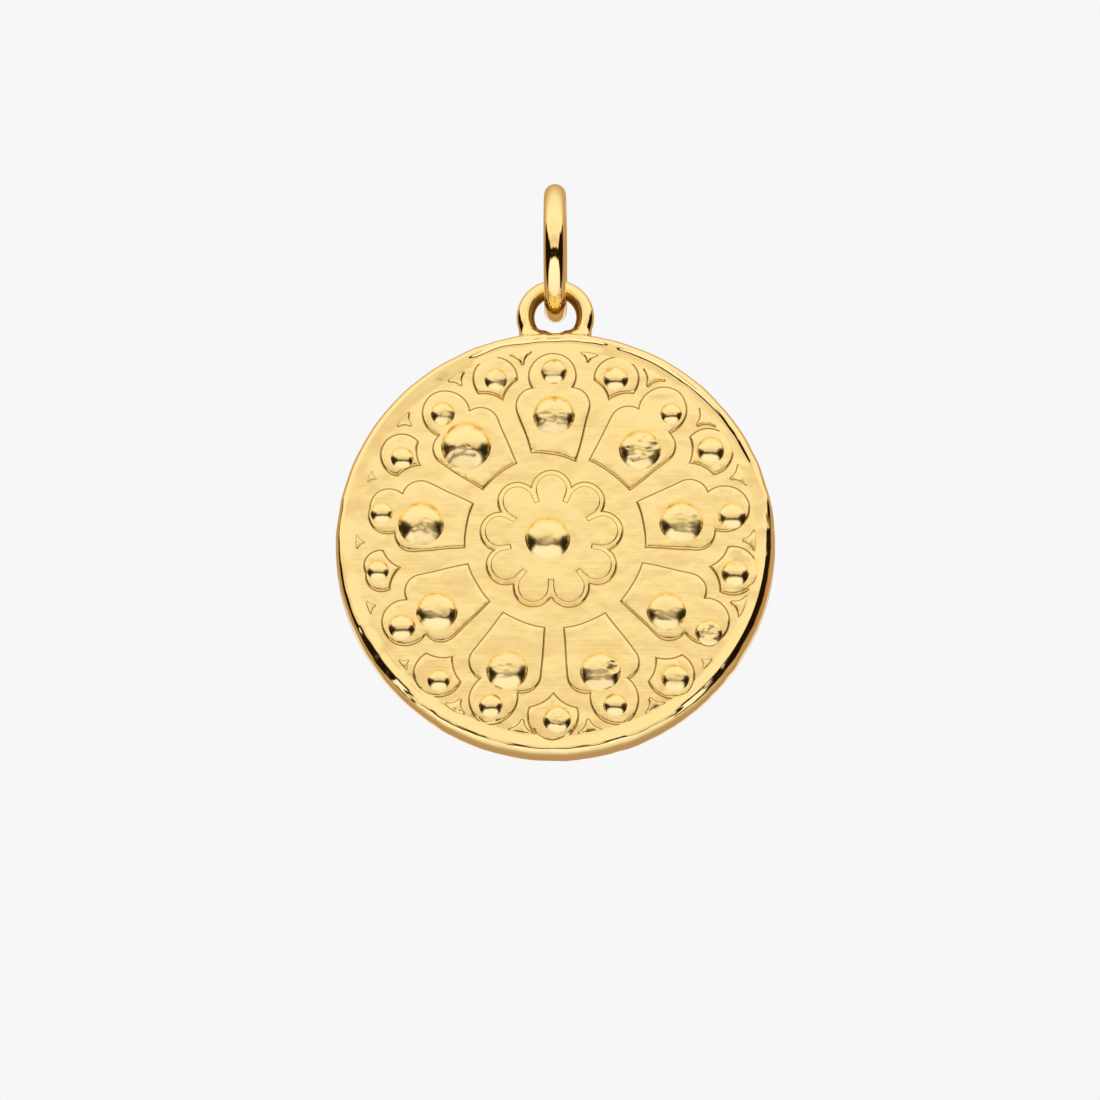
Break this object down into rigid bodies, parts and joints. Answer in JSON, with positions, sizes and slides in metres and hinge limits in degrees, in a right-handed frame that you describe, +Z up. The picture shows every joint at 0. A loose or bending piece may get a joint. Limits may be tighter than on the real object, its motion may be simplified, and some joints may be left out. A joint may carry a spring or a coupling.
{
  "type": "medallion pendant",
  "caption": "Round gold-toned medallion pendant with a domed rose-window relief, a cast eyelet and a plain wire bail ring that a chain passes through.",
  "frame": {"origin": "the chain's seat: the highest point of the bail ring's bore", "axes": "+Z up, the way the pendant hangs; the relief faces -Y; +X is to the viewer's right"},
  "size_m": [0.022, 0.007, 0.0298],
  "materials": {
    "cast_gold": "satin field with polished domes and rim, gold plated",
    "polished_gold": "mirror polished, gold plated"
  },
  "bodies": {
    "bail": {"bail_ring": "polished_gold"},
    "medallion": {"medallion": "cast_gold"}
  },
  "joints": [
    {"name": "medallion_swing", "type": "hinge", "parent": "bail", "child": "medallion", "pos_m": [0, 0, -0.0024], "axis": [1, 0, 0], "range_deg": [-90, 90]}
  ]
}
